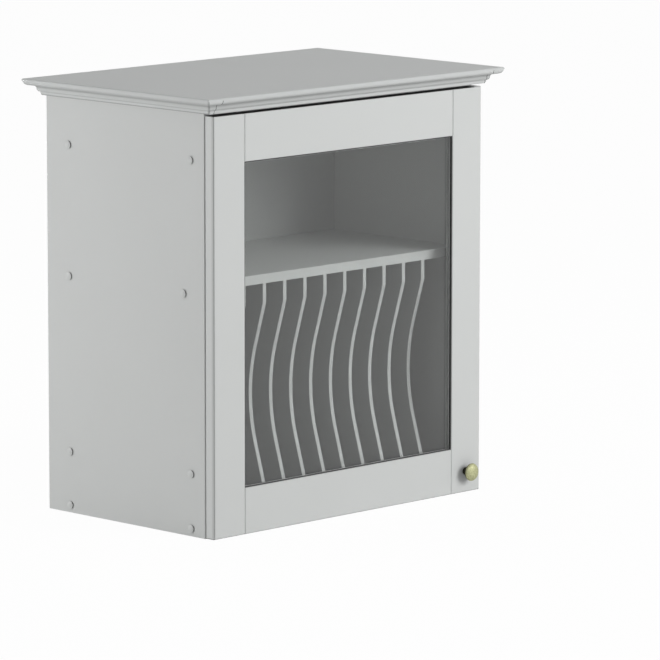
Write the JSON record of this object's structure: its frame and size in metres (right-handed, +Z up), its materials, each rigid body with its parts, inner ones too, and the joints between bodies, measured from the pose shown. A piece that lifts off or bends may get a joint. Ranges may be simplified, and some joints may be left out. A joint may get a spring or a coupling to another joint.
{
  "type": "kitchen wall cabinet",
  "caption": "Painted wall cabinet with a framed smoked glass door on concealed hinges, a shelf above an upright plate rack, a moulded cornice top and rear wall battens.",
  "frame": {"origin": "centre of the footprint, on the surface that the cabinet stands on", "axes": "+X to the right seen from the front, +Y from the door to the wall, +Z up"},
  "size_m": [0.6, 0.39, 0.625],
  "materials": {
    "painted_board": "satin grey paint on board",
    "painted_trim": "satin grey paint on mouldings and top",
    "painted_door": "satin grey paint on the door frame",
    "raw_batten": "planed softwood",
    "dowel_wood": "smooth beech",
    "cap_plastic": "satin moulded plastic",
    "screw_steel": "zinc plated",
    "hinge_steel": "bright nickel plated",
    "smoked_glass": "clear grey tinted glass",
    "black_seal": "matt black rubber",
    "aged_brass": "aged brushed brass",
    "clear_bumper": "soft translucent pad"
  },
  "bodies": {
    "root": {"side_panel_left": "painted_board", "side_panel_right": "painted_board", "bottom_panel": "painted_board", "top_panel": "painted_board", "front_stretcher": "painted_board", "rear_stretcher": "painted_board", "back_panel": "painted_board", "rear_rail_upper": "painted_board", "rear_rail_lower": "painted_board", "shelf": "painted_board", "rack_end_left": "painted_board", "rack_end_right": "painted_board", "hanging_cleat": "raw_batten", "wall_batten": "raw_batten", "cornice_front": "painted_trim", "cornice_return_left": "painted_trim", "cornice_return_right": "painted_trim", "cornice_left": "painted_trim", "cornice_right": "painted_trim", "cornice_back": "painted_trim", "top_cover": "painted_trim", "panel_screws": "screw_steel", "rack_screws": "screw_steel", "batten_screws": "screw_steel", "cover_caps": "cap_plastic", "carcass_dowels": "dowel_wood", "cornice_dowels": "dowel_wood", "hinge_arms": "hinge_steel", "hinge_arm_pins": "hinge_steel", "hinge_plates": "hinge_steel", "hinge_plate_screws": "screw_steel", "plate_divider_01": "painted_board", "plate_divider_02": "painted_board", "plate_divider_03": "painted_board", "plate_divider_04": "painted_board", "plate_divider_05": "painted_board", "plate_divider_06": "painted_board", "plate_divider_07": "painted_board", "plate_divider_08": "painted_board", "plate_divider_09": "painted_board", "plate_divider_10": "painted_board"},
    "outer_links": {"hinge_outer_links": "hinge_steel"},
    "inner_links": {"hinge_inner_links": "hinge_steel"},
    "door": {"door_stile_left": "painted_door", "door_stile_right": "painted_door", "door_rail_top": "painted_door", "door_rail_bottom": "painted_door", "door_dowels": "dowel_wood", "glass_pane": "smoked_glass", "glass_seal": "black_seal", "glazing_beads": "painted_door", "bead_pins": "screw_steel", "knob": "aged_brass", "knob_screw": "screw_steel", "door_bumpers": "clear_bumper", "hinge_cups": "hinge_steel", "hinge_cup_screws": "screw_steel", "hinge_cup_pins": "hinge_steel"}
  },
  "joints": [
    {"name": "outer_link_turn", "type": "hinge", "parent": "root", "child": "outer_links", "pos_m": [-0.23938, -0.13356, 0.29975], "axis": [0, 0, 1], "range_deg": [0, 47.6]},
    {"name": "inner_link_turn", "type": "hinge", "parent": "root", "child": "inner_links", "pos_m": [-0.23582, -0.15199, 0.29975], "axis": [0, 0, 1], "range_deg": [0, 62.3]},
    {"name": "door_swing", "type": "hinge", "parent": "outer_links", "child": "door", "pos_m": [-0.26094, -0.15986, 0.29975], "axis": [0, 0, -1], "range_deg": [0, 139.5]}
  ],
  "couplings": [
    {"joint": "outer_link_turn", "follows": "door_swing", "ratio": 0.34074},
    {"joint": "inner_link_turn", "follows": "door_swing", "ratio": 0.44552}
  ]
}
